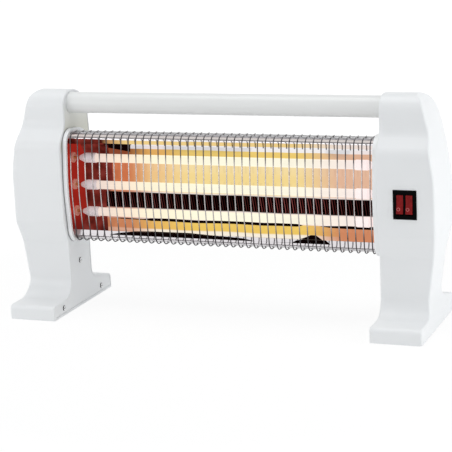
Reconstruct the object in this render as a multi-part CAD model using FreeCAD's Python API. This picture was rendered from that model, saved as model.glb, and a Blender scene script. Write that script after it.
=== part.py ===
"""Three-tube quartz heater on two moulded legs, with a tube handle and a wire guard.

Millimetres. X runs along the heater, the front faces -Y and +Z is up.
The origin lies on the floor, midway between the legs and midway along the feet.
"""
import FreeCAD
import Part
import math
import os

Vector = FreeCAD.Vector

# Overall and shared sizes
overall_width = 488.0
overall_height = 250.0
foot_depth = 150.0
leg_width = 62.0
wall = 2.5
cut_overrun = 1.0
fit_gap = 0.15
running_gap = 0.05
arc_reach_share = 0.48
flat_share = 0.0001

# Side casing, seen from the side: distances ahead of and behind the handle's plane
foot_height = 16.5
foot_rise = 12.0
foot_round = 5.0
instep_round = 20.0
heel_round = 10.0
leg_front = 28.5
leg_rear = 26.5
bulge_front = 36.0
bulge_rear = 44.0
shoulder_front = 35.0
crown_front = 19.5
crown_front_round = 30.0
crown_rear = 42.5
crown_rear_round = 20.0
crown_flat_rear = 18.0
crown_fall = 20.0
crown_top_round = 50.0
band_round = 18.0
bow_round = 120.0
leg_top_share = -0.5
bulge_low_share = -0.31
bulge_high_share = 0.15
shoulder_share = 0.4
crown_base_share = 0.555

# Side casing, seen from the front: how far the outer side lies inside the bulge
foot_draw_in = 6.0
waist_draw_in = 9.0
shoulder_draw_in = 4.9
crown_draw_in = 8.6
crown_lean = 10.5
crown_step = 2.0
crown_side_round = 18.5
waist_rise = 18.0
side_round = 40.0
side_bow_round = 150.0
casing_edge_round = 2.5
casing_rim_round = 1.4

# Inner cover and its screws
cover_thickness = 2.5
cover_recess = 0.4
screw_shank = 3.0
screw_length = 14.0
screw_head = 6.0
screw_head_height = 2.0
screw_slot = 0.8
screw_slot_depth = 0.9
post_diameter = 8.0
leg_screw_y = -2.0
leg_screw_drop = 27.0
foot_screw_front_y = -50.0
foot_screw_rear_y = 48.0
foot_screw_z = 8.5

# Heating drum between the covers
drum_height = 126.0
drum_drop = 107.5
drum_front = 30.0
drum_shoulder_front = 24.0
drum_rear = 38.0
drum_top_rear = 18.0
drum_top_fall = 4.0
drum_rear_half_share = 0.22
drum_corner_round = 15.0
drum_bow_round = 220.0
drum_rear_round = 30.0
ring_height = 5.5
ring_wall = 3.5

# Wire guard
wire_end_gap = 3.0
wire_diameter = 1.3
wire_pitch = 8.9
wire_tail_y = -5.0
rod_diameter = 3.5
upper_rod_y = -8.0
lower_rod_y = -13.0
lower_rod_rise = 0.35
rod_insert = 2.0

# Reflector, end plates and back panel
sheet = 0.8
reflector_top_drop = 7.5
reflector_bottom_drop = 5.6
reflector_lip = 7.0
reflector_lip_y = -15.5
reflector_shelf_y = 8.0
reflector_back_y = 26.0
reflector_back_half = 30.0
reflector_bend = 6.0
end_plate_margin = 1.2
panel_edge_y = -2.5
vent_margin = 16.0
vent_length = 14.0
vent_height = 3.0
vent_pitch = 22.0

# Quartz tubes and their electrical ends
tube_outer = 9.6
tube_inner = 7.6
tube_pitch = 31.0
tube_y = -5.0
tube_end_gap = 9.6
tube_socket = 10.0
coil_diameter = 6.0
cap_outer = 11.2
cap_length = 20.0
cap_nose_length = 7.0
cap_nose_diameter = 5.0
pin_diameter = 3.0
pin_inside_cap = 6.0
pin_tail = 14.1
bush_body = 8.0
bush_flange = 12.0
bush_flange_height = 2.0
bush_rear_length = 3.0
link_thickness = 1.0
link_width = 9.0
link_standoff = 6.1
link_sidestep = 12.0
tag_overhang = 3.5
common_tag_reach = 24.0
nut_across_flats = 5.5
nut_height = 2.4

# Handle
handle_drop = 14.5
handle_outer = 23.5
handle_wall = 2.2
spigot_length = 12.0
tie_rod_diameter = 5.0
tie_rod_tail = 10.0
handle_nut_across = 8.0
handle_nut_height = 4.0
washer_diameter = 12.0
washer_thickness = 1.0

# Twin rocker switch
switch_inset = 31.5
switch_drop = 3.5
bezel_width = 25.0
bezel_height = 31.0
bezel_thickness = 2.2
bezel_proud = 1.2
bezel_edge = 0.6
switch_body_width = 21.6
switch_body_height = 27.6
switch_body_depth = 20.0
rocker_width = 7.0
rocker_height = 20.0
rocker_spacing = 9.8
rocker_depth = 7.0
rocker_heel_height = 11.0
rocker_tilt = 8.0
rocker_round = 0.8
rocker_pivot_depth = 4.0
rocker_side_gap = 0.4
rocker_end_gap = 1.0
rocker_well = 12.5
rocker_pin = 2.0
blade_width = 4.8
blade_thickness = 0.8
blade_length = 8.0
blade_rows = 3
blade_row_pitch = 8.0

# Tip-over switch in the right foot
plunger_inset = 30.0
plunger_y = 6.8
plunger_diameter = 6.0
plunger_stem = 4.0
plunger_collar = 9.0
plunger_collar_height = 2.0
plunger_collar_z = 16.0
plunger_top_z = 35.0
plunger_travel = 5.0
guide_diameter = 11.0
guide_top_gap = 0.5
spring_outer = 7.6
spring_inner = 4.8
spring_end_gap = 0.1
tab_z = 26.0
bracket_sheet = 1.5
bracket_width = 32.0
bracket_base_depth = 13.0
bracket_top_z = 50.0
bracket_tab_width = 8.0
bracket_reach = 12.0
micro_length = 19.8
micro_thickness = 6.4
micro_height = 10.2
micro_lug = 1.0
micro_button = 2.0
lever_thickness = 0.6
lever_width = 3.6
lever_tail = 4.0
lever_gap = 0.5
lever_arm = 13.0
lever_eye = 3.0
lever_pin_diameter = 1.5
bracket_screw_offset = 12.0

# Mains inlet
block_length = 22.0
block_height = 14.0
block_depth = 12.0
block_drop = 5.5
block_y = -3.0
block_hole = 5.0
block_screw_pitch = 10.0
gland_inset = 34.0
gland_drop = 20.5
gland_outer = 15.0
gland_neck = 11.0
gland_bore = 7.2
gland_flange = 2.0
lead_diameter = 3.2
lead_bend = 8.0
neutral_lead_y = 32.0
live_lead_drop = 12.0
live_landing_drop = 2.7

half_width = overall_width / 2
foot_half_depth = foot_depth / 2
inner_face_x = half_width - leg_width
handle_z = overall_height - handle_drop
drum_centre_z = overall_height - drum_drop
drum_top = drum_centre_z + drum_height / 2
drum_bottom = drum_centre_z - drum_height / 2
cover_face_x = inner_face_x + cover_recess
cover_back_x = cover_face_x + cover_thickness
ring_face_x = cover_face_x - ring_height
plate_face_x = cover_face_x - sheet
tube_tip_x = plate_face_x - tube_end_gap
link_x = cover_back_x + link_standoff
pin_end_x = cover_back_x + pin_tail
leg_screw_z = drum_bottom - leg_screw_drop
switch_x = half_width - switch_inset
switch_z = drum_centre_z - switch_drop
plunger_x = half_width - plunger_inset
block_z = drum_bottom - block_drop
gland_x = half_width - gland_inset
gland_z = drum_centre_z - gland_drop
tube_levels = [drum_centre_z + step * tube_pitch for step in (1, 0, -1)]
x_axis = Vector(1, 0, 0)
y_axis = Vector(0, 1, 0)
z_axis = Vector(0, 0, 1)


def side_point(x):
    """Places an outline drawn in Y and Z at one X."""
    return lambda point: Vector(x, point.x, point.y)


def front_point(y):
    """Places an outline drawn in X and Z at one Y."""
    return lambda point: Vector(point.x, y, point.y)


def rounded_wire(corners, place, closed=True):
    """Straight runs joined by tangent arcs, each arc limited by the shorter run beside it."""
    count = len(corners)
    knots = []
    for index, (across, up, radius) in enumerate(corners):
        here = Vector(across, up, 0)
        at_end = not closed and index in (0, count - 1)
        before = Vector(*corners[index - 1][:2], 0) - here
        after = Vector(*corners[(index + 1) % count][:2], 0) - here
        turn = 0 if at_end else math.pi - before.getAngle(after)
        if at_end or radius <= 0 or turn < flat_share:
            knots.append((here, None, here))
            continue
        half_tangent = math.tan(turn / 2)
        reach = min(radius * half_tangent, arc_reach_share * min(before.Length, after.Length))
        arc_radius = reach / half_tangent
        before.normalize()
        after.normalize()
        inwards = (before + after).normalize()
        middle = here + inwards * (arc_radius / math.cos(turn / 2) - arc_radius)
        knots.append((here + before * reach, middle, here + after * reach))
    edges = []
    for index, (start, middle, end) in enumerate(knots):
        if middle is not None:
            edges.append(Part.Arc(place(start), place(middle), place(end)).toShape())
        if index < count - 1 or closed:
            following = knots[(index + 1) % count][0]
            edges.append(Part.LineSegment(place(end), place(following)).toShape())
    return Part.Wire(edges)


def inset(corners, distance, closed=True):
    """The same anticlockwise outline moved inwards, with its arcs kept parallel."""
    count = len(corners)
    moved = []
    for index, (across, up, radius) in enumerate(corners):
        here = Vector(across, up, 0)
        arriving = here - Vector(*corners[index - 1][:2], 0)
        leaving = Vector(*corners[(index + 1) % count][:2], 0) - here
        if not closed and index == 0:
            arriving = Vector(leaving)
        if not closed and index == count - 1:
            leaving = Vector(arriving)
        arriving.normalize()
        leaving.normalize()
        first = Vector(-arriving.y, arriving.x, 0)
        second = Vector(-leaving.y, leaving.x, 0)
        shift = (first + second) * (distance / (1 + first.dot(second)))
        convex = arriving.cross(leaving).z > 0
        new_radius = radius - distance if convex else radius + distance
        moved.append((here.x + shift.x, here.y + shift.y, max(new_radius, 0)))
    return moved


def sheet_outline(path, thickness):
    """A bent sheet's section: an open path and the same path moved to its left."""
    return path + inset(path, thickness, closed=False)[::-1]


def prism(corners, place, direction):
    return Part.Face(rounded_wire(corners, place)).extrude(direction)


def rod_x(diameter, start_x, end_x, y, z):
    return Part.makeCylinder(diameter / 2, end_x - start_x, Vector(start_x, y, z), x_axis)


def rod_y(diameter, start_y, end_y, x, z):
    return Part.makeCylinder(diameter / 2, end_y - start_y, Vector(x, start_y, z), y_axis)


def rod_z(diameter, start_z, end_z, x, y):
    return Part.makeCylinder(diameter / 2, end_z - start_z, Vector(x, y, start_z), z_axis)


def block(low, high):
    low = Vector(*low)
    size = Vector(*high) - low
    return Part.makeBox(size.x, size.y, size.z, low)


def mirrored(shape):
    return shape.mirror(Vector(0, 0, 0), x_axis)


def group(shapes):
    return Part.makeCompound(shapes)


def bent_tube(points, diameter, bend):
    """A round lead along straight runs joined by tangent arcs."""
    count = len(points)
    edges = []
    last = Vector(*points[0])
    for index in range(1, count - 1):
        here = Vector(*points[index])
        before = Vector(*points[index - 1]) - here
        after = Vector(*points[index + 1]) - here
        turn = math.pi - before.getAngle(after)
        half_tangent = math.tan(turn / 2)
        reach = min(bend * half_tangent, arc_reach_share * min(before.Length, after.Length))
        radius = reach / half_tangent
        before.normalize()
        after.normalize()
        inwards = (before + after).normalize()
        start = here + before * reach
        end = here + after * reach
        middle = here + inwards * (radius / math.cos(turn / 2) - radius)
        edges.append(Part.LineSegment(last, start).toShape())
        edges.append(Part.Arc(start, middle, end).toShape())
        last = end
    edges.append(Part.LineSegment(last, Vector(*points[-1])).toShape())
    path = Part.Wire(edges)
    first = Vector(*points[0])
    direction = Vector(*points[1]) - first
    ring = Part.Wire([Part.makeCircle(diameter / 2, first, direction)])
    return path.makePipeShell([ring], True, False)


def level(share):
    """A height on the casing, as a share of the drum's height from its centre."""
    return drum_centre_z + share * drum_height


def side_corners():
    """The casing's side outline in Y and Z, anticlockwise from the toe."""
    front = [
        (-crown_front, overall_height, crown_front_round),
        (-crown_front, level(crown_base_share), band_round),
        (-shoulder_front, level(shoulder_share), band_round),
        (-bulge_front, level(bulge_high_share), bow_round),
        (-bulge_front, level(bulge_low_share), band_round),
        (-leg_front, level(leg_top_share), band_round),
        (-leg_front, foot_height, instep_round),
        (-foot_half_depth, foot_height, foot_round),
        (-foot_half_depth, 0, 0),
    ]
    rear = [
        (foot_half_depth, 0, 0),
        (foot_half_depth, foot_height, foot_round),
        (leg_rear, foot_height + foot_rise, heel_round),
        (leg_rear, level(leg_top_share), band_round),
        (bulge_rear, level(bulge_low_share), band_round),
        (bulge_rear, level(shoulder_share), band_round),
        (crown_rear, level(crown_base_share), band_round),
        (crown_rear, overall_height - crown_fall, crown_rear_round),
        (crown_flat_rear, overall_height, crown_top_round),
    ]
    return front + rear


def front_corners(inner_x):
    """The casing's front outline in X and Z, anticlockwise from the inner bottom corner.

    Its top lies a step above the side outline's top, so that the two cross in a clear edge.
    """
    top = overall_height + crown_step
    return [
        (inner_x, 0, 0),
        (half_width - foot_draw_in, 0, 0),
        (half_width - foot_draw_in, foot_height, foot_round),
        (half_width - waist_draw_in, foot_height + waist_rise, side_round),
        (half_width, level(bulge_low_share), side_round),
        (half_width, level(bulge_high_share), side_bow_round),
        (half_width - shoulder_draw_in, level(shoulder_share), side_round),
        (half_width - crown_draw_in, level(crown_base_share), side_round),
        (half_width - crown_draw_in - crown_lean, top, crown_side_round),
        (inner_x, top, 0),
    ]


def drum_corners():
    """The drum's oval in Y and Z, anticlockwise from the bowed front."""
    rear_half = drum_rear_half_share * drum_height
    return [
        (-drum_front, drum_centre_z, drum_bow_round),
        (-drum_shoulder_front, drum_bottom, drum_corner_round),
        (drum_top_rear, drum_bottom + drum_top_fall, drum_rear_round),
        (drum_rear, drum_centre_z - rear_half, drum_rear_round),
        (drum_rear, drum_centre_z + rear_half, drum_rear_round),
        (drum_top_rear, drum_top - drum_top_fall, drum_rear_round),
        (-drum_shoulder_front, drum_top, drum_corner_round),
    ]


def drum_solid(growth, start_x, end_x):
    corners = inset(drum_corners(), -growth)
    return prism(corners, side_point(start_x), x_axis * (end_x - start_x))


def casing_outer():
    """The casing's outside: its side outline and its front outline crossed."""
    sides = prism(side_corners(), side_point(inner_face_x), x_axis * half_width)
    rim = [edge for edge in sides.Edges if edge.BoundBox.XMax < inner_face_x + flat_share
           and edge.BoundBox.ZMax > flat_share]
    sides = sides.makeFillet(casing_rim_round, rim)
    depth = y_axis * (foot_depth + cut_overrun * 2)
    fronts = prism(front_corners(inner_face_x), front_point(-foot_half_depth - cut_overrun), depth)
    solid = sides.common(fronts)
    return solid.makeFillet(casing_edge_round, crossing_edges(solid))


def crossing_edges(solid):
    """Edges between a face of the side outline and a face of the front outline."""
    found = []
    for edge in solid.Edges:
        middle = edge.valueAt((edge.FirstParameter + edge.LastParameter) / 2)
        normals = [face.normalAt(*face.Surface.parameter(middle))
                   for face in solid.ancestorsOfType(edge, Part.Face)]
        along_x = [abs(normal.x) < flat_share for normal in normals]
        along_y = [abs(normal.y) < flat_share for normal in normals]
        off_rim = middle.x > inner_face_x + casing_rim_round
        for side, front in ((0, 1), (1, 0)):
            if along_x[side] and along_y[front] and not along_x[front] and off_rim and middle.z > flat_share:
                found.append(edge)
    return found


def casing_cavity():
    """The hollow inside the casing, open towards the inner cover."""
    sides = prism(inset(side_corners(), wall), side_point(inner_face_x - cut_overrun), x_axis * half_width)
    depth = y_axis * (foot_depth + cut_overrun * 2)
    corners = inset(front_corners(inner_face_x - wall - cut_overrun), wall)
    fronts = prism(corners, front_point(-foot_half_depth - cut_overrun), depth)
    return sides.common(fronts)


def screw_places():
    return [
        (leg_screw_y, leg_screw_z),
        (foot_screw_front_y, foot_screw_z),
        (foot_screw_rear_y, foot_screw_z),
    ]


def plain_casing():
    """A hollow moulded casing with its three screw posts."""
    outer = casing_outer()
    shell = outer.cut(casing_cavity())
    for y, z in screw_places():
        post = rod_x(post_diameter, cover_back_x, half_width, y, z).common(outer)
        shell = shell.fuse(post)
    for y, z in screw_places():
        hole_end = cover_back_x + screw_length
        shell = shell.cut(rod_x(screw_shank + running_gap * 2, inner_face_x, hole_end, y, z))
    return shell.removeSplitter()


def bezel_back_y():
    return -bulge_front + bezel_thickness - bezel_proud


def right_casing():
    """The right casing with its switch seat, plunger guide and mains inlet hole."""
    shell = plain_casing()
    seat_half_width = bezel_width / 2 + fit_gap
    seat_half_height = bezel_height / 2 + fit_gap
    shell = shell.cut(block(
        (switch_x - seat_half_width, -bulge_front - cut_overrun, switch_z - seat_half_height),
        (switch_x + seat_half_width, bezel_back_y(), switch_z + seat_half_height)))
    hole_half_width = switch_body_width / 2 + fit_gap
    hole_half_height = switch_body_height / 2 + fit_gap
    shell = shell.cut(block(
        (switch_x - hole_half_width, -bulge_front - cut_overrun, switch_z - hole_half_height),
        (switch_x + hole_half_width, 0, switch_z + hole_half_height)))
    guide_top = plunger_collar_z - plunger_travel - guide_top_gap
    shell = shell.fuse(rod_z(guide_diameter, wall / 2, guide_top, plunger_x, plunger_y))
    plunger_hole = plunger_diameter + running_gap * 2
    shell = shell.cut(rod_z(plunger_hole, -cut_overrun, overall_height / 2, plunger_x, plunger_y))
    gland_hole = gland_neck + fit_gap * 2
    shell = shell.cut(rod_y(gland_hole, 0, bulge_rear + cut_overrun, gland_x, gland_z))
    return shell.removeSplitter()


def inner_cover():
    """The flat cover that closes a casing: drum ring, handle spigot and screw holes."""
    outline = inset(side_corners(), wall + fit_gap)
    cover = prism(outline, side_point(cover_face_x), x_axis * cover_thickness)
    ring = drum_solid(ring_wall + fit_gap, ring_face_x, inner_face_x - fit_gap)
    ring_base = drum_solid(ring_wall + fit_gap, ring_face_x, cover_back_x)
    ring_base = ring_base.common(prism(outline, side_point(ring_face_x), x_axis * half_width))
    ring_inner = drum_solid(fit_gap, ring_face_x - cut_overrun, cover_face_x)
    cover = cover.fuse(ring).fuse(ring_base).cut(ring_inner)
    spigot_diameter = handle_outer - handle_wall * 2 - fit_gap * 2
    cover = cover.fuse(rod_x(spigot_diameter, cover_face_x - spigot_length, cover_back_x, 0, handle_z))
    cover = cover.cut(rod_x(
        tie_rod_diameter + fit_gap * 2, inner_face_x - spigot_length - cut_overrun,
        cover_back_x + cut_overrun, 0, handle_z))
    head_hole = screw_head + fit_gap * 2
    shank_hole = screw_shank + fit_gap * 2
    for y, z in screw_places():
        cover = cover.cut(rod_x(shank_hole, cover_face_x - cut_overrun, cover_back_x + cut_overrun, y, z))
        seat_x = cover_face_x + screw_head_height / 2
        cover = cover.cut(rod_x(head_hole, cover_face_x - cut_overrun, seat_x, y, z))
    for z in tube_levels:
        cover = cover.cut(rod_x(
            bush_body + fit_gap * 2, cover_face_x - cut_overrun, cover_back_x + cut_overrun, tube_y, z))
    for y, z in rod_places():
        cover = cover.cut(rod_x(
            rod_diameter + fit_gap * 2, cover_face_x - cut_overrun, cover_face_x + rod_insert, y, z))
    cover = cover.cut(rod_x(
        lead_diameter + fit_gap * 2, cover_face_x - cut_overrun, cover_back_x + cut_overrun,
        neutral_lead_y, drum_centre_z))
    return cover.removeSplitter()


def cover_screws():
    """Pan-head screws with a slot, one for each post."""
    screws = []
    seat_x = cover_face_x + screw_head_height / 2
    for y, z in screw_places():
        shank = rod_x(screw_shank, seat_x, cover_face_x + screw_length, y, z)
        head = rod_x(screw_head, seat_x - screw_head_height, seat_x, y, z)
        slot = block(
            (seat_x - screw_head_height, y - screw_head, z - screw_slot / 2),
            (seat_x - screw_head_height + screw_slot_depth, y + screw_head, z + screw_slot / 2))
        screws.append(head.fuse(shank).cut(slot).removeSplitter())
    return group(screws)


def wire_path():
    """One wire's centre line in Y and Z, from its upper tail to its lower tail."""
    centre_line = inset(drum_corners(), wire_diameter / 2)
    bow, low_corner, high_corner = centre_line[0], centre_line[1], centre_line[-1]
    upper_tail = (wire_tail_y, high_corner[1], 0)
    lower_tail = (wire_tail_y, low_corner[1], 0)
    return [upper_tail, high_corner, bow, low_corner, lower_tail]


def rod_places():
    """The guard rods lie just inside the wires, the lower one where they start to bend."""
    drop = wire_diameter / 2 + rod_diameter / 2 + running_gap
    path = wire_path()
    upper_z = path[0][1] - drop
    lower_z = path[-1][1] + drop + lower_rod_rise
    return [(upper_rod_y, upper_z), (lower_rod_y, lower_z)]


def guard_wires():
    """Bowed wires, each bent back over the rods at the top and the bottom."""
    path = wire_path()
    wire_count = int((ring_face_x - wire_end_gap) * 2 / wire_pitch) + 1
    wires = []
    for number in range(wire_count):
        x = (number - (wire_count - 1) / 2) * wire_pitch
        spine = rounded_wire(path, side_point(x), closed=False)
        start = Vector(x, wire_tail_y, path[0][1])
        ring = Part.Wire([Part.makeCircle(wire_diameter / 2, start, y_axis)])
        wires.append(spine.makePipeShell([ring], True, False))
    return group(wires)


def guard_rods():
    end_x = cover_face_x + rod_insert - fit_gap
    return group([rod_x(rod_diameter, -end_x, end_x, y, z) for y, z in rod_places()])


def reflector():
    """A polished trough behind the tubes, with a narrow lip along its top and bottom."""
    top = drum_top - reflector_top_drop
    bottom = drum_bottom + reflector_bottom_drop
    path = [
        (reflector_lip_y, top - reflector_lip, 0),
        (reflector_lip_y, top, sheet),
        (reflector_shelf_y, top, reflector_bend),
        (reflector_back_y, drum_centre_z + reflector_back_half, reflector_bend),
        (reflector_back_y, drum_centre_z - reflector_back_half, reflector_bend),
        (reflector_shelf_y, bottom, reflector_bend),
        (reflector_lip_y, bottom, sheet),
        (reflector_lip_y, bottom + reflector_lip, 0),
    ]
    outline = sheet_outline(path[::-1], sheet)
    length = plate_face_x - fit_gap
    return prism(outline, side_point(-length), x_axis * (length * 2))


def back_panel():
    """The drum's bent rear sheet, with a row of vent slots above and below its middle."""
    length = plate_face_x - fit_gap
    panel = drum_solid(0, -length, length)
    panel = panel.cut(drum_solid(-sheet, -length - cut_overrun, length + cut_overrun))
    panel = panel.common(block(
        (-length, panel_edge_y, drum_bottom - cut_overrun),
        (length, drum_rear + cut_overrun, drum_top + cut_overrun)))
    vent_count = int((length - vent_margin) * 2 / vent_pitch)
    corners = drum_corners()
    low_y, low_z = middle_of(corners[2], corners[3])
    high_z = middle_of(corners[4], corners[5])[1]
    for number in range(vent_count):
        x = (number - (vent_count - 1) / 2) * vent_pitch
        for z in (low_z, high_z):
            panel = panel.cut(block(
                (x - vent_length / 2, low_y - vent_length, z - vent_height / 2),
                (x + vent_length / 2, drum_rear + cut_overrun, z + vent_height / 2)))
    return panel


def middle_of(first, second):
    return (first[0] + second[0]) / 2, (first[1] + second[1]) / 2


def end_plate():
    """The polished plate that closes one end of the drum."""
    plate = drum_solid(-end_plate_margin, plate_face_x, cover_face_x)
    for z in tube_levels:
        plate = plate.cut(rod_x(
            bush_body + fit_gap * 2, plate_face_x - cut_overrun, cover_face_x + cut_overrun, tube_y, z))
    for y, z in rod_places():
        plate = plate.cut(rod_x(
            rod_diameter + fit_gap * 2, plate_face_x - cut_overrun, cover_face_x + cut_overrun, y, z))
    plate = plate.cut(rod_x(
        lead_diameter + fit_gap * 2, plate_face_x - cut_overrun, cover_face_x + cut_overrun,
        neutral_lead_y, drum_centre_z))
    return plate


def quartz_tube(z):
    end_x = tube_tip_x - cap_length + tube_socket
    outer = rod_x(tube_outer, -end_x, end_x, tube_y, z)
    return outer.cut(rod_x(tube_inner, -end_x - cut_overrun, end_x + cut_overrun, tube_y, z))


def heating_coil(z):
    """The outside shape of the fine winding, reaching the pins at both ends."""
    end_x = tube_tip_x - pin_inside_cap - cap_nose_length
    return rod_x(coil_diameter, -end_x, end_x, tube_y, z)


def tube_caps():
    """Ceramic caps with a tapered nose, pushed over the tube ends."""
    caps = []
    shoulder_x = tube_tip_x - cap_nose_length
    mouth_x = tube_tip_x - cap_length
    for z in tube_levels:
        sleeve = rod_x(cap_outer, mouth_x, shoulder_x, tube_y, z)
        nose = Part.makeCone(
            cap_outer / 2, cap_nose_diameter / 2, cap_nose_length, Vector(shoulder_x, tube_y, z), x_axis)
        cap = sleeve.fuse(nose)
        socket = rod_x(tube_outer + running_gap * 2, mouth_x - cut_overrun, mouth_x + tube_socket, tube_y, z)
        throat = rod_x(tube_inner, mouth_x, shoulder_x, tube_y, z)
        pin_hole = rod_x(pin_diameter + running_gap * 2, mouth_x, tube_tip_x + cut_overrun, tube_y, z)
        caps.append(cap.cut(socket).cut(throat).cut(pin_hole).removeSplitter())
    return group(caps)


def terminal_pins():
    """Studs from the heating coils, through the caps and bushes, to the links."""
    start_x = tube_tip_x - pin_inside_cap - cap_nose_length
    return group([rod_x(pin_diameter, start_x, pin_end_x, tube_y, z) for z in tube_levels])


def ceramic_bushes():
    """Flanged bushes that keep the pins clear of the end plate and the cover."""
    bushes = []
    for z in tube_levels:
        flange = rod_x(bush_flange, plate_face_x - bush_flange_height, plate_face_x, tube_y, z)
        body = rod_x(bush_body, plate_face_x, cover_back_x + bush_rear_length, tube_y, z)
        bore = rod_x(
            pin_diameter + running_gap * 2, plate_face_x - bush_flange_height - cut_overrun,
            cover_back_x + bush_rear_length + cut_overrun, tube_y, z)
        bushes.append(flange.fuse(body).cut(bore).removeSplitter())
    return group(bushes)


def pin_nuts():
    """Nuts that clamp the links on the pins."""
    nuts = []
    start_x = link_x + link_thickness
    for z in tube_levels:
        nuts.append(hex_nut(nut_across_flats, nut_height, pin_diameter, start_x, tube_y, z))
    return group(nuts)


def hex_nut(across, height, bore, x, y, z):
    radius = across / math.sqrt(3)
    corners = []
    for step in range(6):
        angle = math.radians(60 * step)
        corners.append((y + radius * math.cos(angle), z + radius * math.sin(angle), 0))
    nut = prism(corners, side_point(x), x_axis * height)
    return nut.cut(rod_x(bore + running_gap * 2, x - cut_overrun, x + height + cut_overrun, y, z))


def common_link():
    """The brass strip that joins all three pins on the left."""
    half = link_width / 2
    strip = block(
        (link_x, tube_y - half, tube_levels[2] - half),
        (link_x + link_thickness, tube_y + half, tube_levels[0] + half))
    middle_z = tube_levels[1]
    strip = strip.fuse(block(
        (link_x, tube_y, middle_z - half),
        (link_x + link_thickness, tube_y + common_tag_reach, middle_z + half)))
    for z in tube_levels:
        strip = strip.cut(pin_clearance(z))
    return strip.removeSplitter()


def outer_pair_link():
    """The brass strip that joins the upper and lower pins and passes ahead of the middle one."""
    half = link_width / 2
    strip_y = tube_y - link_sidestep
    strip = block(
        (link_x, strip_y - half, tube_levels[2] - half),
        (link_x + link_thickness, strip_y + half, tube_levels[0] + half))
    for z in (tube_levels[0], tube_levels[2]):
        strip = strip.fuse(block(
            (link_x, strip_y, z - half), (link_x + link_thickness, tube_y + half, z + half)))
        strip = strip.cut(pin_clearance(z))
    return strip.removeSplitter()


def middle_link():
    """The brass tag on the middle pin."""
    half = link_width / 2
    z = tube_levels[1]
    tag = block(
        (link_x, tube_y - tag_overhang, z - half),
        (link_x + link_thickness, tube_y + link_sidestep, z + half))
    return tag.cut(pin_clearance(z))


def pin_clearance(z):
    return rod_x(pin_diameter + running_gap * 2, link_x - cut_overrun, link_x + link_thickness + cut_overrun,
                 tube_y, z)


def handle_tube():
    outer = rod_x(handle_outer, -cover_face_x, cover_face_x, 0, handle_z)
    bore = handle_outer - handle_wall * 2
    return outer.cut(rod_x(bore, -cover_face_x - cut_overrun, cover_face_x + cut_overrun, 0, handle_z))


def handle_tie_rod():
    end_x = cover_back_x + washer_thickness + handle_nut_height + tie_rod_tail
    return rod_x(tie_rod_diameter, -end_x, end_x, 0, handle_z)


def handle_washers():
    washer = rod_x(washer_diameter, cover_back_x, cover_back_x + washer_thickness, 0, handle_z)
    washer = washer.cut(rod_x(
        tie_rod_diameter + fit_gap * 2, cover_back_x - cut_overrun,
        cover_back_x + washer_thickness + cut_overrun, 0, handle_z))
    return group([washer, mirrored(washer)])


def handle_nuts():
    start_x = cover_back_x + washer_thickness
    nut = hex_nut(handle_nut_across, handle_nut_height, tie_rod_diameter, start_x, 0, handle_z)
    return group([nut, mirrored(nut)])


def rocker_places():
    return [switch_x - rocker_spacing / 2, switch_x + rocker_spacing / 2]


def rocker_pivot_y():
    return bezel_back_y() - bezel_thickness + rocker_pivot_depth


def switch_housing():
    """The switch's bezel and box, with one well for each rocker."""
    bezel_front = bezel_back_y() - bezel_thickness
    bezel = block(
        (switch_x - bezel_width / 2, bezel_front, switch_z - bezel_height / 2),
        (switch_x + bezel_width / 2, bezel_back_y(), switch_z + bezel_height / 2))
    rim = [edge for edge in bezel.Edges if edge.BoundBox.YMax < bezel_front + bezel_edge]
    bezel = bezel.makeChamfer(bezel_edge, rim)
    body_back = bezel_back_y() + switch_body_depth
    body = block(
        (switch_x - switch_body_width / 2, bezel_back_y(), switch_z - switch_body_height / 2),
        (switch_x + switch_body_width / 2, body_back, switch_z + switch_body_height / 2))
    housing = bezel.fuse(body)
    well_half_width = rocker_width / 2 + rocker_side_gap
    well_half_height = rocker_height / 2 + rocker_end_gap
    for x in rocker_places():
        housing = housing.cut(block(
            (x - well_half_width, bezel_front - cut_overrun, switch_z - well_half_height),
            (x + well_half_width, bezel_front + rocker_well, switch_z + well_half_height)))
    pin_hole = rocker_pin + running_gap * 2
    housing = housing.cut(rod_x(
        pin_hole, switch_x - switch_body_width / 2, switch_x + switch_body_width / 2,
        rocker_pivot_y(), switch_z))
    return housing.removeSplitter()


def rocker(x):
    """One rocker, hollowed to a shallow V and tipped in at its top."""
    half = rocker_height / 2
    crest = half * math.tan(math.radians(rocker_tilt))
    face_y = rocker_pivot_y() - rocker_pivot_depth
    heel = rocker_heel_height / 2
    corners = [
        (face_y, switch_z, 0),
        (face_y - crest, switch_z - half, rocker_round),
        (face_y + rocker_depth / 2, switch_z - half, rocker_round),
        (face_y + rocker_depth, switch_z - heel, rocker_round),
        (face_y + rocker_depth, switch_z + heel, rocker_round),
        (face_y + rocker_depth / 2, switch_z + half, rocker_round),
        (face_y - crest, switch_z + half, rocker_round),
    ]
    solid = prism(corners, side_point(x - rocker_width / 2), x_axis * rocker_width)
    solid = solid.cut(rod_x(
        rocker_pin + running_gap * 2, x - rocker_width, x + rocker_width, rocker_pivot_y(), switch_z))
    solid.rotate(Vector(x, rocker_pivot_y(), switch_z), x_axis, -rocker_tilt)
    return solid


def rocker_pin_rod():
    half = switch_body_width / 2
    return rod_x(rocker_pin, switch_x - half, switch_x + half, rocker_pivot_y(), switch_z)


def switch_blades():
    """Two columns of push-on blades out of the back of the switch."""
    blades = []
    back_y = bezel_back_y() + switch_body_depth
    for x in rocker_places():
        for row in range(blade_rows):
            z = switch_z + (row - (blade_rows - 1) / 2) * blade_row_pitch
            blades.append(block(
                (x - blade_width / 2, back_y, z - blade_thickness / 2),
                (x + blade_width / 2, back_y + blade_length, z + blade_thickness / 2)))
    return group(blades)


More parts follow.
